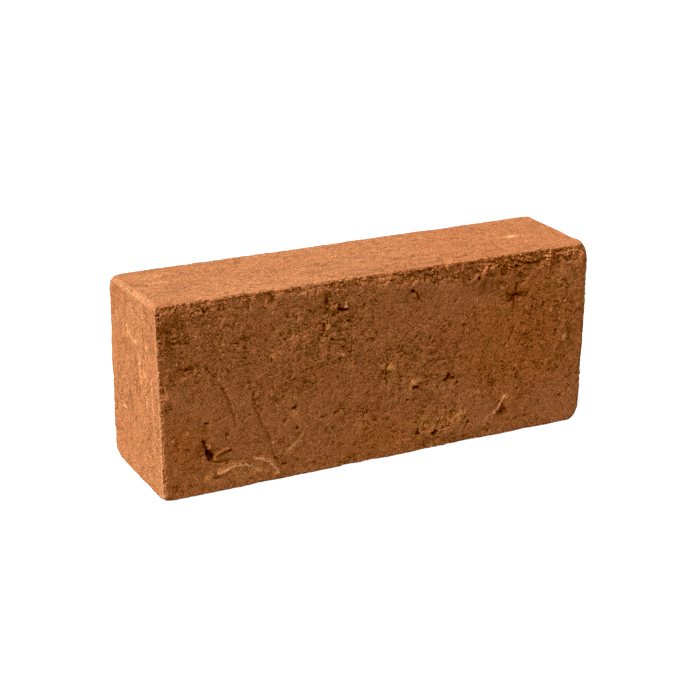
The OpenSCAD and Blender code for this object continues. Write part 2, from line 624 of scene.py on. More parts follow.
def block_lattice(step):
    """The block's surface as a lattice of squares: points in millimetres, and quads that face out."""
    counts = np.maximum(np.round(BLOCK_SIZE / step), 1).astype(int)
    keys = []
    for out, right, above in FACES.values():
        wide, high = abs(counts @ right), abs(counts @ above)
        i, j = np.meshgrid(np.arange(wide + 1), np.arange(high + 1), indexing="ij")
        # The face's lower left corner, where ways that run back along an axis begin at its far end.
        corner = sum(np.where(way < 0, counts, 0) for way in (-out, right, above))
        keys.append(corner + i[..., None] * right + j[..., None] * above)
    flat = np.concatenate([key.reshape(-1, 3) for key in keys])
    code = (flat[:, 0] * (counts[1] + 1) + flat[:, 1]) * (counts[2] + 1) + flat[:, 2]
    _, first, lookup = np.unique(code, return_index=True, return_inverse=True)
    points = BLOCK_LOW + flat[first] * BLOCK_SIZE / counts
    quads = []
    start = 0
    for key in keys:
        index = lookup.reshape(-1)[start:start + key[..., 0].size].reshape(key.shape[:2])
        start += index.size
        corners = (index[:-1, :-1], index[1:, :-1], index[1:, 1:], index[:-1, 1:])
        quads.append(np.stack(corners, axis=-1).reshape(-1, 4))
    return points, np.concatenate(quads)


def round_edges(points, radius):
    """Pulls the points onto a block whose edges have the given radius, which may differ by point."""
    radius = np.asarray(radius).reshape(-1, 1)
    inner = np.clip(points, BLOCK_LOW + radius, BLOCK_HIGH - radius)
    away = points - inner
    out = away / np.linalg.norm(away, axis=1, keepdims=True)
    return inner + out * radius, out


def edge_radius(points, noise, settings):
    """The worn radius of the edges, larger in places and at knocked corners."""
    radius = settings.edge_radius / MM * np.ones(len(points))
    radius += settings.edge_wear / MM * smooth_step(-0.2, 0.9, noise.smooth(points / 16.0))
    # The front upper edge broke off sharp, and never wore round.
    edge_gap = np.hypot(points[:, 1] - BLOCK_LOW[1], points[:, 2] - BLOCK_HIGH[2])
    radius *= 1.0 - 0.6 * fading(3.0, 8.0, edge_gap)
    # The upper edge of the left header was rubbed round, and catches the light.
    edge_gap = np.hypot(points[:, 0] - BLOCK_LOW[0], points[:, 2] - BLOCK_HIGH[2])
    radius += fading(3.0, 9.0, edge_gap)
    for corner, (extra, reach) in KNOCKED_CORNERS.items():
        place = BLOCK_CENTRE + np.array(corner) * BLOCK_SIZE / 2
        gap = np.linalg.norm(points - place, axis=1)
        radius += extra * fading(0.3 * reach, reach, gap)
    return radius


def chipped_edge(points, noise):
    """How far the front upper edge is bitten back into the block, unevenly along its length."""
    along = points * np.array([1.0, 0.0, 0.0])
    bite = 1.1 * smooth_step(-0.3, 0.8, noise.smooth(along / 11.0 + 0.37))
    bite += 0.7 * smooth_step(-0.1, 0.7, noise.smooth(along / 4.0 + 0.81))
    near = fading(0.5, 5.0, below_face(points, "top")) * fading(0.5, 5.0, below_face(points, "front"))
    back_and_down = np.array([0.0, 1.0, -0.45])
    return (bite * near)[:, None] * back_and_down


def shrink(points):
    """Pulls the corners in as firing did, with everything between them following evenly."""
    share = (points - BLOCK_LOW) / BLOCK_SIZE
    moved = points.copy()
    for corner, inset in CORNER_SHRINKAGE.items():
        sign = np.array(corner)
        weight = np.prod(np.where(sign > 0, share, 1.0 - share), axis=1)
        moved -= weight[:, None] * sign * np.array(inset)
    return moved


def crumble(points, noise):
    """Broken clay: tilted clods of unequal height with crevices between, about 0 high to 1 deep."""
    large, small = 3.8, 2.0
    bent = points.copy()
    for size, share in ((2.4, 0.7), (1.1, 0.3)):
        bent += noise.bend(points, size, share, (3.0, 17.0, 41.0))
    edge, chance, facet, above = noise.cells(bent / large)
    depth = 0.5 * chance + 0.3 * facet + 0.3 * above + 0.3 * fading(0.0, 0.14, edge)
    small_edge, small_chance, small_facet, small_above = noise.cells(bent / small + 11.0)
    depth += 0.4 * (small_chance - 0.4) + 0.4 * small_facet + 0.35 * small_above
    depth += 0.25 * fading(0.0, 0.2, small_edge)
    return np.clip(depth, -0.3, 1.5), 0.5 * chance + 0.5 * small_chance


def flakes(points, noise):
    """Flaky clay: small scales that stand out at their lower ends, and each scale's chance number."""
    large, small = np.array([2.9, 2.6, 2.3]), np.array([1.5, 1.4, 1.3])
    bent = points + noise.bend(points, 2.0, 0.8, (5.0, 23.0, 47.0))
    _, chance, facet, above = noise.cells(bent / large + 29.0)
    _, small_chance, small_facet, small_above = noise.cells(bent / small + 71.0)
    depth = 0.45 * above + 0.5 * facet + 0.5 * (chance - 0.5)
    depth += 0.2 * small_above + 0.3 * small_facet + 0.2 * (small_chance - 0.5)
    return depth, 0.6 * chance + 0.4 * small_chance


def edge_mask(points, edge, noise):
    """1 at a stretch of edge, fading out to its uneven reach on the two faces."""
    uneven = 1.0 + 0.6 * noise.smooth(points / 9.0 + 3.0) + 0.35 * noise.smooth(points / 3.5 + 9.0)
    below_second = below_face(points, edge.second) / (edge.reach_first * uneven)
    below_first = below_face(points, edge.first) / (edge.reach_second * uneven)
    mask = fading(0.45, 1.1, below_second) * fading(0.45, 1.1, below_first)
    across = abs(FACES[edge.first][0]) + abs(FACES[edge.second][0])
    along = (points - BLOCK_LOW)[:, across.argmin()]
    fade = 4.0
    mask *= smooth_step(edge.start - fade, edge.start + fade, along)
    return mask * fading(edge.end - fade, edge.end + fade, along)


def all_edges():
    """The twelve edges of the block, each crumbled a little over its whole length."""
    for first, second in itertools.combinations(FACE_NAMES, 2):
        if not FACES[first][0] @ FACES[second][0]:
            start, end = -EDGE_PAST, BLOCK_SIZE.max() + EDGE_PAST
            yield Edge(first, second, start, end, EDGE_REACH, EDGE_REACH, EDGE_LOSS)


def torn_clay(places, noise):
    """The pattern of torn pits, which lie lengthwise, as the clay was dragged."""
    stretched = places / np.array([3.6, 2.2, 1.9])
    return (
        noise.smooth(stretched + 5.0)
        + 0.55 * noise.smooth(2.1 * stretched + 9.0)
        + 0.35 * noise.smooth(4.3 * stretched + 2.0)
    )


def carve(points, out, settings):
    """The depth of the relief below the block's faces, and the masks that colour follows."""
    noise = ClayNoise(settings.seed)
    faces = FaceMap(points, noise)
    grain = settings.grain_depth / MM
    pit = settings.pit_depth / MM
    # The bed faces were struck off and are rougher than the pressed sides and headers.
    bed = abs(out[:, 1])
    rough = 0.5 + 0.5 * bed
    # The side that it was turned out on is the smoothest.
    underside = smooth_step(0.3, 0.9, -out[:, 2])
    rough *= 1.0 - 0.6 * underside

    depth = 0.4 + 0.25 * noise.smooth(points / 48.0) + 0.12 * noise.smooth(points / 13.0)
    # The underside settled flat on its board.
    depth *= 1.0 - 0.7 * underside
    # Some patches are smooth and others rough.
    flaky = np.zeros(len(points))
    for patch in ROUGH:
        where, gap = faces.oval(patch)
        raise_to(flaky, where, patch.amount * fading(0.5, 1.0, gap))
    patchy = smooth_step(-0.3, 0.3, noise.smooth(points / 8.0 + 50.0))
    flaky = (0.15 + 0.85 * flaky) * (0.3 + 0.7 * patchy)
    for size, share in GRAIN_SIZES:
        depth += (0.4 + 0.6 * flaky) * rough * grain * share * noise.smooth(points / size)
    scales, scale_tone = flakes(points, noise)
    depth += flaky * bed * settings.flake_depth / MM * scales

    # Each torn pit has a burr of clay pushed up below it.
    burr_shift = np.array([0.3, 0.6, 1.3])
    pitted = 0.15 + 0.85 * flaky
    pits = pitted * smooth_step(0.55, 0.85, torn_clay(points, noise))
    burrs = pitted * smooth_step(0.5, 0.85, torn_clay(points + burr_shift, noise)) * (1.0 - pits)
    # Short jagged cracks.
    vein = abs(
        noise.smooth(points / 6.5 + 13.0)
        + 0.3 * noise.smooth(points / 2.4 + 1.0)
        + 0.2 * noise.smooth(points / 1.1 + 4.0)
    )
    cracks = fading(0.01, 0.07, vein) * smooth_step(0.1, 0.4, noise.smooth(points / 5.0 + 33.0))
    depth += rough * pit * (pits + 0.8 * cracks - 0.45 * burrs)
    # Pits and cracks are darkened with dirt and painted shade.
    hollow = rough * np.maximum(0.35 * pits, 0.4 * cracks)

    crumbled = np.zeros(len(points))
    clods, tone = crumble(points, noise)

    def break_up(where, mask, loss):
        # Clods come off whole, so the broken part ends along their outlines.
        share = smooth_step(0.25, 0.6, mask + 0.9 * (tone[where] - 0.5) * smooth_step(0.0, 0.3, mask))
        depth[where] += share * loss * settings.crumble_depth / MM * (0.2 + 0.8 * clods[where])
        raise_to(crumbled, where, share)
        # The deepest crevices between clods are darkened with painted shade.
        raise_to(hollow, where, 0.6 * share * smooth_step(0.75, 1.2, clods[where]))

    everywhere = slice(None)
    for edge in (*all_edges(), *EDGES):
        break_up(everywhere, edge_mask(points, edge, noise), edge.depth)
    for band in CRUMBLED:
        where, gap = faces.line(band)
        break_up(where, fading(0.3, 1.15, gap), band.amount)

    for marks, solid, edge, dirt in SUNKEN:
        for mark in marks:
            where, gap = faces.reach(mark)
            mask = fading(solid, edge, gap)
            depth[where] += mask * mark.amount
            # Deeper marks are darkened more, with dirt and painted shade.
            raise_to(hollow, where, mask * min(MOST_DIRT_AND_SHADE, dirt * mark.amount))
    for lump in LUMPS:
        where, gap = faces.reach(lump)
        mask = fading(0.5, 1.05, gap)
        depth[where] -= mask * lump.amount
        hollow[where] *= 1.0 - mask

    masks = {
        "hollow": hollow,
        "crumbled": crumbled,
        "tone": tone,
        "burr": burrs,
        "bed": bed,
        "flaky": flaky * bed,
        "scale_tone": scale_tone,
    }
    for name, (marks, soft) in COLOURED.items():
        masks[name] = np.zeros(len(points))
        for mark in marks:
            where, gap = faces.reach(mark)
            raise_to(masks[name], where, mark.amount * fading(1.0 - soft, 1.0, gap))
    depth -= PALE_PROUD * masks["pale"]
    return np.maximum(depth, 0.0), masks


def thin_out(mesh, limit):
    """A copy of the mesh with at most that many triangles, kept closest where the relief is."""
    dense = bpy.data.objects.new("dense_brick", mesh)
    bpy.context.scene.collection.objects.link(dense)
    thin = dense.modifiers.new("thin", "DECIMATE")
    thin.ratio = limit / (2 * len(mesh.polygons))
    depsgraph = bpy.context.evaluated_depsgraph_get()
    result = bpy.data.meshes.new_from_object(
        dense.evaluated_get(depsgraph), preserve_all_data_layers=True, depsgraph=depsgraph
    )
    bpy.data.objects.remove(dense)
    bpy.data.meshes.remove(mesh)
    return result


def read(items, name, kind=float, size=1):
    """One property of every vertex, loop or face of a mesh, as an array."""
    values = np.empty(len(items) * size, dtype=kind)
    items.foreach_get(name, values)
    return values.reshape(-1, size) if size > 1 else values


def lay_out_map(mesh):
    """Lays the six faces flat, side by side, in a texture map."""
    gap = 4.0
    long, thick, high = BLOCK_SIZE
    corners = {
        "front": (0.0, 0.0),
        "back": (0.0, high + gap),
        "top": (0.0, 2 * (high + gap)),
        "under": (0.0, 2 * (high + gap) + thick + gap),
        "left": (long + gap, 0.0),
        "right": (long + gap, high + gap),
    }
    sheet = 2 * (high + gap) + 2 * (thick + gap)
    points = read(mesh.vertices, "co", size=3) / MM
    middles = read(mesh.polygons, "center", size=3) / MM
    face = np.repeat(nearest_face(middles), read(mesh.polygons, "loop_total", int))
    spots = points[read(mesh.loops, "vertex_index", int)]
    layout = np.zeros((len(mesh.loops), 2))
    for index, name in enumerate(FACE_NAMES):
        on = face == index
        places = np.stack(place_on_face(spots[on], name), axis=1)
        layout[on] = (np.array(corners[name]) + gap / 2 + places) / sheet
    mesh.uv_layers.new(name="OFBake").data.foreach_set("uv", layout.ravel())


def build_brick_mesh(settings):
    """The fired block with its worn edges, pits, grooves and crumbled bands."""
    lattice, quads = block_lattice(settings.mesh_step / MM)
    noise = ClayNoise(settings.seed + 1)
    surface, _ = round_edges(lattice, edge_radius(lattice, noise, settings))
    # The way in at an edge turns over this radius, whatever the edge's own.
    blend_radius = 2.5
    _, out = round_edges(lattice, blend_radius)
    surface += chipped_edge(surface, noise)
    depth, masks = carve(surface, out, settings)
    points = shrink(surface - out * depth[:, None])

    mesh = bpy.data.meshes.new("brick_clay")
    mesh.vertices.add(len(points))
    mesh.vertices.foreach_set("co", (points * MM).ravel())
    mesh.loops.add(quads.size)
    mesh.loops.foreach_set("vertex_index", quads.ravel())
    mesh.polygons.add(len(quads))
    mesh.polygons.foreach_set("loop_start", np.arange(0, quads.size, 4))
    for name, mask in masks.items():
        mesh.attributes.new(name, "FLOAT", "POINT").data.foreach_set("value", mask.astype(np.float32))
    mesh.update(calc_edges=True)
    mesh = thin_out(mesh, settings.triangle_limit)
    # Broken clay has sharp facets; the rest of the surface is smooth between its points.
    first_points = read(mesh.loops, "vertex_index", int)[read(mesh.polygons, "loop_start", int)]
    broken = read(mesh.attributes["crumbled"].data, "value")[first_points]
    mesh.polygons.foreach_set("use_smooth", broken < FACETED)
    lay_out_map(mesh)
    mesh.update()
    return mesh


# ---------------------------------------------------------------------------------------------
# Materials
# ---------------------------------------------------------------------------------------------


def linear(hex_colour):
    """A hex sRGB colour as linear red, green and blue."""
    values = (int(hex_colour[i:i + 2], 16) / 255 for i in (1, 3, 5))
    return tuple(v / 12.92 if v <= 0.04045 else ((v + 0.055) / 1.055) ** 2.4 for v in values)


def empty_tree(owner):
    """The node tree of a new material or world, with nothing in it."""
    owner.use_nodes = True
    owner.node_tree.nodes.clear()
    return owner.node_tree


def add_node(tree, kind, inputs=None, **settings):
    """Adds a node. An input is given a value, or another node's output to link from."""
    added = tree.nodes.new(kind)
    for name, value in settings.items():
        setattr(added, name, value)
    for name, value in (inputs or {}).items():
        if isinstance(value, bpy.types.NodeSocket):
            tree.links.new(value, added.inputs[name])
        else:
            added.inputs[name].default_value = value
    return added


# Colour and fine relief follow the masks that the mesh carries, and some patterns.
CLAY_MASKS = ("hollow", "crumbled", "tone", "burr", "bed", "flaky", "scale_tone", *COLOURED)
# Pattern: the size of its patches, its levels of detail, how rough they are, and a shift that keeps
# patterns from lining up. A dragged one is three times as long as wide: lengthwise on the long sides,
# and up and down on the headers.
Pattern = namedtuple("Pattern", "size_mm detail roughness shift dragged", defaults=(0.6, 0, False))
CLAY_PATTERNS = {
    "firing": Pattern(38, 3),
    "iron": Pattern(27, 2, shift=40),
    "clouds": Pattern(9, 3),
    "red_bits": Pattern(3.1, 3, shift=10),
    "yellow_bits": Pattern(2.6, 3, shift=20),
    "bright_bits": Pattern(2.1, 3, 0.7, 30),
    "dark_bits": Pattern(1.7, 3, 0.7),
    "drifts": Pattern(9, 2, shift=90),
    "sand": Pattern(0.8, 4, 0.85, 60),
    "streaks": Pattern(1.4, 3, 0.7, 140, dragged=True),
    "smears": Pattern(5, 3, 0.7, 150, dragged=True),
    "ochre_patches": Pattern(3, 4, 0.7),
    "stain_patches": Pattern(4, 4, 0.7),
    "broken_patches": Pattern(3.5, 2, shift=310),
    "scuffs": Pattern(1.6, 2),
    "long_cracks": Pattern(8, 3, 0.5, 200),
    "long_torn": Pattern(4, 2, shift=210),
    "short_cracks": Pattern(5, 1.5, 0.5, 240),
    "short_torn": Pattern(2.5, 2, shift=250),
    "plates": Pattern(3.4, 4, shift=300),
    "plate_patches": Pattern(3.7, 2, shift=310),
    "bits": Pattern(2.2, 3, 0.75, 120),
    "pores": Pattern(0.6, 2, 0.8, 130),
    "fine_sand": Pattern(0.9, 3, 0.75, 80),
    "polish": Pattern(3, 2),
}
# A field with the stretch of it that rises from 0 to 1, or between two values: first the smooth long
# sides and headers, then the flaky patches of the bed faces.
SMOOTH_SIDE = ("bed", 0.7, 0.3)
FLAKY = ("flaky", 0.0, 0.5, 0.35, 1.0)

# The coats of colour, from the first laid on to the last. Each has the name of its colour, then the
# fields that are multiplied into its strength.
CLAY_COATS = (
    # Broad mottling from uneven firing, then clouds a centimetre wide.
    ("pale", ("firing", 0.35, 0.7, 0.0, 0.35)),
    ("red", ("iron", 0.45, 0.7, 0.0, 0.35)),
    ("dark", ("clouds", 0.5, 0.75, 0.0, 0.2)),
    # Sand and clay are not mixed through: redder, yellower, paler and darker bits lie side by side.
    ("red", ("red_bits", 0.48, 0.64, 0.0, 0.2)),
    ("ochre", ("yellow_bits", 0.48, 0.64, 0.0, 0.2)),
    ("bright", ("bright_bits", 0.48, 0.64, 0.0, 0.18)),
    ("dark", ("dark_bits", 0.5, 0.66, 0.0, 0.12)),
    # Sand grains in drifts, drawn a millimetre wide, coarser than real ones, so that they show.
    ("bright", ("drifts", 0.4, 0.65, 0.25, 1.0), ("sand", 0.52, 0.64, 0.0, 0.7)),
    ("dark", ("drifts", 0.4, 0.65, 0.25, 1.0), ("sand", 0.46, 0.34, 0.0, 0.7)),
    # The long sides and headers carry fine dark and light streaks from the mould.
    ("dark", SMOOTH_SIDE, ("streaks", 0.56, 0.66, 0.0, 0.8)),
    ("bright", SMOOTH_SIDE, ("streaks", 0.42, 0.3, 0.0, 0.6)),
    ("dark", SMOOTH_SIDE, ("smears", 0.52, 0.66, 0.0, 0.4)),
    ("rust", "rust"),
    # The bed faces are a little redder and darker: partly fired that way, and partly painted shade, as
    # the front bed face is in shade.
    ("red", ("bed", 0.3, 1.0, 0.0, 0.2)),
    ("ochre", "ochre", ("ochre_patches", 0.38, 0.56)),
    # Stains, and painted shade in some dents.
    ("soot", "stain", ("stain_patches", 0.35, 0.6)),
    # Broken clods show fresh clay, each in its own tone.
    ("pale", "crumbled", ("tone", 0.55, 0.95, 0.0, 0.5)),
    ("red", "crumbled", ("tone", 0.4, 0.1, 0.0, 0.5)),
)

# Grit, from half a millimetre to one and a half: the spacing of the grains in mm, and the share of
# places that stay empty of them.
GRIT = ((0.9, 0.93), (1.4, 0.95), (2.2, 0.97))
CLOD_MM = 3.2
SAND_MM = 1.3


def clay_fields(tree, mm):
    """The masks and patterns that colour and relief follow, by name."""
    fields = {}
    for name in CLAY_MASKS:
        mask = add_node(tree, "ShaderNodeAttribute", attribute_type="GEOMETRY", attribute_name=name)
        fields[name] = mask.outputs["Fac"]
    dragged = add_node(tree, "ShaderNodeVectorMath", {0: mm, 1: (0.33, 1.0, 0.33)}, operation="MULTIPLY")
    for name, pattern in CLAY_PATTERNS.items():
        place = dragged.outputs["Vector"] if pattern.dragged else mm
        shift = (pattern.shift,) * 3
        moved = add_node(tree, "ShaderNodeVectorMath", {0: place, 1: shift}, operation="ADD")
        made = add_node(
            tree,
            "ShaderNodeTexNoise",
            {
                "Vector": moved.outputs["Vector"],
                "Scale": 1 / pattern.size_mm,
                "Detail": pattern.detail,
                "Roughness": pattern.roughness,
            },
        )
        fields[name] = made.outputs["Fac"]
    return fields


def fired_clay(settings):
    """Common brick clay, pressed in a mould and fired unglazed: open, sandy and quite matt.

    The eye sees a mottled orange-brown with specks of grit about a millimetre across, paler and
    yellower where the lime and sand are rich, and dark in pits and cracks: soot and dirt collect there,
    and shade is painted in.
    """
    material = bpy.data.materials.new("fired_clay_unglazed")
    tree = empty_tree(material)

    # One unit of these coordinates is a millimetre, so a scale of 1 / n gives marks n mm wide.
    place = add_node(tree, "ShaderNodeTexCoord").outputs["Object"]
    metres_to_mm = {0: place, "Scale": 1 / MM}
    mm = add_node(tree, "ShaderNodeVectorMath", metres_to_mm, operation="SCALE").outputs["Vector"]
    fields = clay_fields(tree, mm)

    def share(*parts):
        """The product of some parts. A part is a number, a node's output or the name of a field. With
        an output or a name may come the stretch of it that rises from 0 to 1, or between two values."""
        product = None
        for part in parts:
            value, *stretch = part if isinstance(part, tuple) else (part,)
            if isinstance(value, str):
                value = fields[value]
            if stretch:
                ends = dict(zip(("From Min", "From Max", "To Min", "To Max"), (*stretch, 0.0, 1.0)))
                value = add_node(
                    tree, "ShaderNodeMapRange", {"Value": value, **ends}, interpolation_type="SMOOTHSTEP"
                ).outputs["Result"]
            if product is not None:
                factors = {0: product, 1: value}
                value = add_node(tree, "ShaderNodeMath", factors, operation="MULTIPLY").outputs[0]
            product = value
        return product

    coats = list(CLAY_COATS)
    # What stands out, as outputs and the height of each as a share of the bump.
    relief = []

    # Grit: scattered grains with ragged outlines, some bright, some dark.
    ragged = add_node(tree, "ShaderNodeTexNoise", {"Vector": mm, "Scale": 1 / 0.8, "Detail": 2.0})
    wobbly = add_node(
        tree,
        "ShaderNodeVectorMath",
        {0: ragged.outputs["Color"], 1: (1.1, 1.1, 1.1), 2: mm},
        operation="MULTIPLY_ADD",
    ).outputs["Vector"]
    for size_mm, rarity in GRIT:
        grains = add_node(tree, "ShaderNodeTexVoronoi", {"Vector": wobbly, "Scale": 1 / size_mm})
        tint = add_node(tree, "ShaderNodeSeparateColor", {"Color": grains.outputs["Color"]})
        body = (grains.outputs["Distance"], 0.5, 0.25)
        coats.append(("bright", (tint.outputs["Red"], rarity, rarity + 0.03, 0.0, 0.7), body))
        coats.append(("dark", (tint.outputs["Green"], rarity, rarity + 0.03, 0.0, 0.8), body))

    # Broken clay is a jumble of small clods, each in its own tone, with crevices between them, sunk by
    # bump and dark with painted shade.
    clod_places = {"Vector": wobbly, "Scale": 1 / CLOD_MM}
    clods = add_node(tree, "ShaderNodeTexVoronoi", clod_places)
    tint = add_node(tree, "ShaderNodeSeparateColor", {"Color": clods.outputs["Color"]})
    gaps = add_node(tree, "ShaderNodeTexVoronoi", clod_places, feature="DISTANCE_TO_EDGE")
    broken = share("crumbled", ("broken_patches", 0.42, 0.58))
    crevices = share(broken, (gaps.outputs["Distance"], 0.1, 0.02))
    relief.append((crevices, -0.15))
    coats += (
        ("bright", "crumbled", (tint.outputs["Red"], 0.4, 1.0, 0.0, 0.5)),
        ("dark", "crumbled", (tint.outputs["Green"], 0.6, 1.0, 0.0, 0.25)),
        # Painted shade in the crevices between clods.
        ("pit", crevices, 0.3),
        # Pale marks: scuffs and grains, and painted highlights along lips and the header's edges.
        ("grit", "pale", ("scuffs", 0.2, 0.45)),
        # Burrs below the pits get a painted highlight, as their lips catch the light.
        ("pale", "burr", 0.35),
        # Pits, cracks and sunken marks, darkened with dirt and painted shade.
        ("pit", "hollow"),
    )

    # Short torn cracks, large and small, each with a lip of clay lifted along one side.
    for name in ("long", "short"):
        vein = name + "_cracks"
        torn = share((name + "_torn", 0.52, 0.57), FLAKY)
        # The smaller the pattern, the steeper it is, so the wider the band that draws the same line.
        wide = CLAY_PATTERNS["long_cracks"].size_mm / CLAY_PATTERNS[vein].size_mm
        lip = share(torn, (vein, 0.5 - 0.04 * wide, 0.5), (vein, 0.5 + 0.01 * wide, 0.5))
        relief.append((lip, 1.0 / wide))
        near_side = (vein, 0.5, 0.5 + 0.004 * wide)
        far_side = (vein, 0.5 + 0.018 * wide, 0.5 + 0.011 * wide)
        # Each crack is a thin dark line of painted shade beside its lifted lip.
        coats.append(("pit", torn, near_side, far_side, 0.85))

    # Thin plates with a sharp lifted edge, and painted shadow at the foot of it.
    lifted = share(("plate_patches", 0.47, 0.55), FLAKY)
    relief.append((share(lifted, ("plates", 0.5, 0.535)), settings.plate_height))
    coats.append(("pit", lifted, ("plates", 0.465, 0.495), ("plates", 0.515, 0.5), 0.7))

    colour = (*settings.clay_colour, 1.0)
    for name, *parts in coats:
        over = (*getattr(settings, name + "_colour"), 1.0)
        colour = add_node(
            tree, "ShaderNodeMix", {0: share(*parts), 6: colour, 7: over}, data_type="RGBA"
        ).outputs[2]

    # Every grain and pore has its own shade.
    shade = share(
        ("bits", 0.3, 0.7, 0.97, 1.03),
        (share("flaky", "scale_tone"), 0.0, 1.0, 0.99, 1.12),
        ("pores", 0.35, 0.65, 0.63, 1.37),
    )
    # On the smooth sides the dark pores are richer in colour, and the bright grains dustier.
    extra = share(SMOOTH_SIDE, (shade, 0.7, 1.3, 0.05, -0.05))
    richness = add_node(tree, "ShaderNodeMath", {0: extra, 1: 1.0}, operation="ADD").outputs[0]
    shaded = {"Color": colour, "Value": shade, "Saturation": richness}
    colour = add_node(tree, "ShaderNodeHueSaturation", shaded).outputs["Color"]

    # The finest relief, too small for the mesh: sand grains, and pores between them.
    grains = add_node(tree, "ShaderNodeTexVoronoi", {"Vector": mm, "Scale": 1 / SAND_MM})
    relief += ((grains.outputs["Distance"], -0.2), (fields["fine_sand"], 0.8))
    height = 0.0
    for value, gain in relief:
        height = add_node(
            tree, "ShaderNodeMath", {0: value, 1: gain, 2: height}, operation="MULTIPLY_ADD"
        ).outputs[0]
    bumped = {"Strength": 1.0, "Distance": settings.bump_depth, "Height": height}
    bump = add_node(tree, "ShaderNodeBump", bumped)

    shader = add_node(
        tree,
        "ShaderNodeBsdfPrincipled",
        {
            "Base Color": colour,
            "Roughness": share(("polish", 0.3, 0.7, 0.86, 0.97)),
            "IOR": 1.5,
            "Specular IOR Level": 0.3,
            "Diffuse Roughness": 0.7,
            "Normal": bump.outputs["Normal"],
        },
    )
    add_node(tree, "ShaderNodeOutputMaterial", {"Surface": shader.outputs["BSDF"]})
    return material


def backlit_acrylic(settings):
    """White translucent acrylic, sanded matt, as the top of a light table lit from below.

    The eye sees plain white with only a faint soft shadow. What it throws back onto the brick is
    set lower than what the eye sees, as a table lit just behind the object would do.
    """
    material = bpy.data.materials.new("backlit_white_acrylic")
    tree = empty_tree(material)
    # 1 where the surface is looked straight at, and 0 where light bounces off it.
    seen = add_node(tree, "ShaderNodeLightPath").outputs["Is Camera Ray"]
    glow = add_node(tree, "ShaderNodeMath", {0: seen, 1: settings.floor_glow}, operation="MULTIPLY")
    surface = add_node(
        tree,
        "ShaderNodeBsdfPrincipled",
        {
            "Base Color": (*settings.floor_colour, 1.0),
            "Roughness": 0.9,
            "Specular IOR Level": 0.1,
            "Emission Color": (1.0, 1.0, 1.0, 1.0),
            "Emission Strength": glow.outputs[0],
        },
    )
    add_node(tree, "ShaderNodeOutputMaterial", {"Surface": surface.outputs["BSDF"]})
    return material


# ---------------------------------------------------------------------------------------------
# Settings, operators and panel
# ---------------------------------------------------------------------------------------------


def length_setting(name, description, millimetres, high, low=0):
    """A length that the user may change, given in millimetres and kept in metres."""
    return bpy.props.FloatProperty(
        name=name,
        description=description,
        default=millimetres * MM,
        min=low * MM,
        max=high * MM,
        precision=5,
        unit="LENGTH",
    )


def colour_setting(name, description, hex_colour):
    """A colour that the user may change."""
    return bpy.props.FloatVectorProperty(
        name=name,
        description=description,
        default=linear(hex_colour),
        min=0.0,
        max=1.0,
        size=3,
        subtype="COLOR",
    )


def strength_setting(name, description, default):
    """A strength that the user may change."""
    return bpy.props.FloatProperty(name=name, description=description, default=default, min=0.0)


def angle_setting(name, description, degrees):
    """An angle that the user may change."""
    return bpy.props.FloatProperty(
        name=name, description=description, default=math.radians(degrees), subtype="ANGLE"
    )


class ClayBrickSettings(bpy.types.PropertyGroup):
    """Sizes and colours of the brick."""

    mesh_step: length_setting("Mesh step", "Spacing of the mesh before it is thinned out", 0.5, 5)
    triangle_limit: bpy.props.IntProperty(
        name="Triangles", description="Most triangles in the finished mesh", default=196000, min=1000
    )
    edge_radius: length_setting("Edge radius", "Least radius of the worn edges", 0.9, 5)
    edge_wear: length_setting("Edge wear", "How much larger the edge radius gets in places", 1.6, 5)
    grain_depth: length_setting("Grain depth", "Height of the grain on the bed faces", 0.24, 2)
    flake_depth: length_setting("Flake depth", "Thickness of the scales on the bed faces", 0.45, 3)
    pit_depth: length_setting("Pit depth", "Depth of the small scattered pits", 0.6, 3)
    crumble_depth: length_setting("Crumble depth", "Scale of the broken bands; 1 mm as listed", 0.85, 3)
    bump_depth: length_setting("Bump depth", "Height of the finest grain, drawn as bump", 1.3, 3)
    plate_height: strength_setting("Plate height", "Thin plates, as a share of the finest grain", 0.3)
    seed: bpy.props.IntProperty(name="Seed", description="Picks the random grain", default=7, min=0)
    clay_colour: colour_setting("Clay", "Main colour of the fired clay", "#CD8654")
    pale_colour: colour_setting("Pale clay", "Sandier, lighter clay", "#E29E69")
    bright_colour: colour_setting("Bright clay", "Clean sand grains", "#EE9C61")
    dark_colour: colour_setting("Dark clay", "Harder fired, darker clay", "#914F28")
    # Soot is also the colour of painted shade in some dents.
    soot_colour: colour_setting("Soot", "Clay stained in the kiln", "#70391E")
    red_colour: colour_setting("Red clay", "Redder clay, richer in iron", "#BD6E48")
    rust_colour: colour_setting("Rust", "Deeper orange clay", "#CF783A")
    ochre_colour: colour_setting("Ochre", "Yellower patches rich in lime", "#FCAC68")
    grit_colour: colour_setting("Grit", "Pale grit and scuffs", "#FFBC88")
    # The pit colour is also the colour of painted shade in pits, cracks, crevices and under lifted plate
    # edges.
    pit_colour: colour_setting("Pits", "Dirt and soot in pits", "#4E2A14")


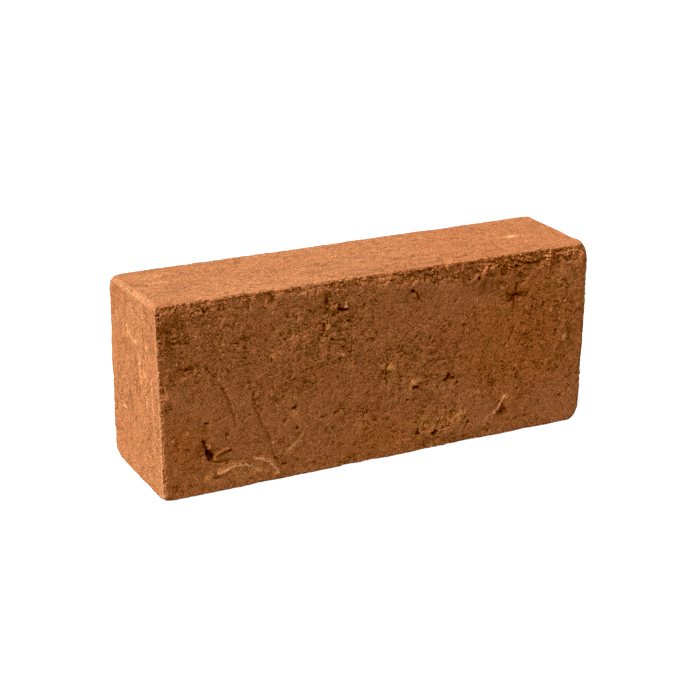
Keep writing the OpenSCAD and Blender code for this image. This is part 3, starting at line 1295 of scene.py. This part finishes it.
class BrickStageSettings(bpy.types.PropertyGroup):
    """Camera, lights and floor."""

    azimuth: angle_setting("Azimuth", "Turn of the camera about Z; 0 looks along +Y", -28.4)
    elevation: angle_setting("Elevation", "Height of the camera above the level", 19.8)
    roll: angle_setting("Roll", "Tilt of the camera about its view", 0.9)
    distance: length_setting("Distance", "From the camera to the point it looks at", 844.0, 5000)
    aim_right: length_setting("Aim right", "How far right of the middle it looks", -6.7, 100, -100)
    aim_up: length_setting("Aim up", "How far above the middle it looks", 1.6, 100, -100)
    lens: bpy.props.FloatProperty(
        name="Lens", description="Focal length on a sensor 36 mm wide", default=84.25, unit="CAMERA"
    )
    floor_colour: colour_setting("Floor", "Colour of the table top", "#8A8A88")
    floor_glow: strength_setting("Floor glow", "Light that comes up through the table top", 0.95)
    key_power: strength_setting("Key light", "Main light, from the left", 3.65)
    overhead_power: strength_setting("Overhead light", "Soft light above the front", 1.1)
    rim_power: strength_setting("Rim light", "Light behind the right-hand end", 0.7)
    sky_power: strength_setting("Room light", "Even light from all round", 0.26)
    black_level: strength_setting("Black level", "What is darker than this comes out black", 0.019)


class CLAY_BRICK_OT_brick(bpy.types.Operator):
    """Add the brick, in place of its plain CAD block"""

    bl_idname = "clay_brick.add_brick"
    bl_label = "Add brick"

    def execute(self, context):
        settings = context.scene.clay_brick
        brick = bpy.data.objects.new("clay_brick", build_brick_mesh(settings))
        brick.data.materials.append(fired_clay(settings))
        context.scene.collection.objects.link(brick)
        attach(brick, BODY)
        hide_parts(NODE)
        return {"FINISHED"}


def direction(turn, rise):
    """The way to a place round the brick: a turn of 0 is in front, and a quarter turn at its right."""
    return Vector((math.sin(turn) * math.cos(rise), -math.cos(turn) * math.cos(rise), math.sin(rise)))


# The lights, far away and soft: the turn and rise of each, and how wide it looks, in degrees.
LIGHTS = {"key": (-89, 38, 10), "overhead": (-30, 54, 40), "rim": (135, 10, 30)}


def add_light(name, power):
    """One of the lights."""
    turn, rise, width = (math.radians(angle) for angle in LIGHTS[name])
    light = bpy.data.lights.new(name + "_light", "SUN")
    light.energy = power
    light.angle = width
    lamp = bpy.data.objects.new(name + "_light", light)
    towards = direction(turn, rise)
    lamp.rotation_mode = "QUATERNION"
    lamp.rotation_quaternion = towards.to_track_quat("Z", "Y")
    lamp.location = towards
    bpy.context.scene.collection.objects.link(lamp)


def add_floor(settings):
    """A wide white table top that the brick stands on."""
    half = 6.0  # metres, far past the edges of the view
    level = BLOCK_LOW[2] * MM
    mesh = bpy.data.meshes.new("floor")
    corners = [(-half, -half, level), (half, -half, level), (half, half, level), (-half, half, level)]
    mesh.from_pydata(corners, [], [(0, 1, 2, 3)])
    mesh.materials.append(backlit_acrylic(settings))
    floor = bpy.data.objects.new("floor", mesh)
    bpy.context.scene.collection.objects.link(floor)


def add_room(settings):
    """An even white room: plain white where it is seen, and dimmer as a source of light."""
    world = bpy.data.worlds.new("room")
    bpy.context.scene.world = world
    tree = empty_tree(world)
    seen = add_node(tree, "ShaderNodeLightPath").outputs["Is Camera Ray"]
    steps = {"Value": seen, "To Min": settings.sky_power, "To Max": 1.0}
    strength = add_node(tree, "ShaderNodeMapRange", steps).outputs["Result"]
    white = {"Color": (1.0, 1.0, 1.0, 1.0), "Strength": strength}
    light = add_node(tree, "ShaderNodeBackground", white)
    add_node(tree, "ShaderNodeOutputWorld", {"Surface": light.outputs["Background"]})


def add_camera(settings):
    """The camera, turned about the brick's middle."""
    towards = direction(settings.azimuth, settings.elevation)
    right = Vector((0, 0, 1)).cross(towards).normalized()
    above = towards.cross(right)
    level = Matrix((right, above, towards)).transposed()
    turned = level @ Matrix.Rotation(settings.roll, 3, "Z")
    aim = Vector(BLOCK_CENTRE) * MM + turned @ Vector((settings.aim_right, settings.aim_up, 0))
    data = bpy.data.cameras.new("camera")
    data.sensor_width = 36.0
    data.lens = settings.lens
    data.clip_start = 0.01
    camera = bpy.data.objects.new("camera", data)
    camera.matrix_world = Matrix.Translation(aim + towards * settings.distance) @ turned.to_4x4()
    bpy.context.scene.collection.objects.link(camera)
    bpy.context.scene.camera = camera


class CLAY_BRICK_OT_stage(bpy.types.Operator):
    """Add the floor, the lights, the room and the camera"""

    bl_idname = "clay_brick.add_stage"
    bl_label = "Add stage"

    def execute(self, context):
        settings = context.scene.brick_stage
        add_floor(settings)
        for name in LIGHTS:
            add_light(name, getattr(settings, name + "_power"))
        add_room(settings)
        add_camera(settings)
        view = context.scene.view_settings
        view.view_transform = "Standard"
        # Shade comes out a little deeper when the faintest light is cut off.
        view.use_curve_mapping = True
        view.curve_mapping.black_level = (settings.black_level,) * 3
        view.curve_mapping.update()
        return {"FINISHED"}


class CLAY_BRICK_PT_panel(bpy.types.Panel):
    """Lists the brick and the stage with their settings"""

    bl_idname = "CLAY_BRICK_PT_panel"
    bl_label = "Clay brick"
    bl_space_type = "VIEW_3D"
    bl_region_type = "UI"
    bl_category = "Brick"

    def draw(self, context):
        groups = (
            (context.scene.clay_brick, CLAY_BRICK_OT_brick),
            (context.scene.brick_stage, CLAY_BRICK_OT_stage),
        )
        for settings, operator in groups:
            box = self.layout.box()
            box.operator(operator.bl_idname)
            for name in settings.__annotations__:
                box.prop(settings, name)


CLASSES = (
    ClayBrickSettings,
    BrickStageSettings,
    CLAY_BRICK_OT_brick,
    CLAY_BRICK_OT_stage,
    CLAY_BRICK_PT_panel,
)


def register():
    for entry in CLASSES:
        bpy.utils.register_class(entry)
    bpy.types.Scene.clay_brick = bpy.props.PointerProperty(type=ClayBrickSettings)
    bpy.types.Scene.brick_stage = bpy.props.PointerProperty(type=BrickStageSettings)


def unregister():
    del bpy.types.Scene.brick_stage
    del bpy.types.Scene.clay_brick
    for entry in reversed(CLASSES):
        bpy.utils.unregister_class(entry)


def main():
    register()
    bpy.ops.clay_brick.add_brick()
    bpy.ops.clay_brick.add_stage()


if __name__ == "__main__":
    main()
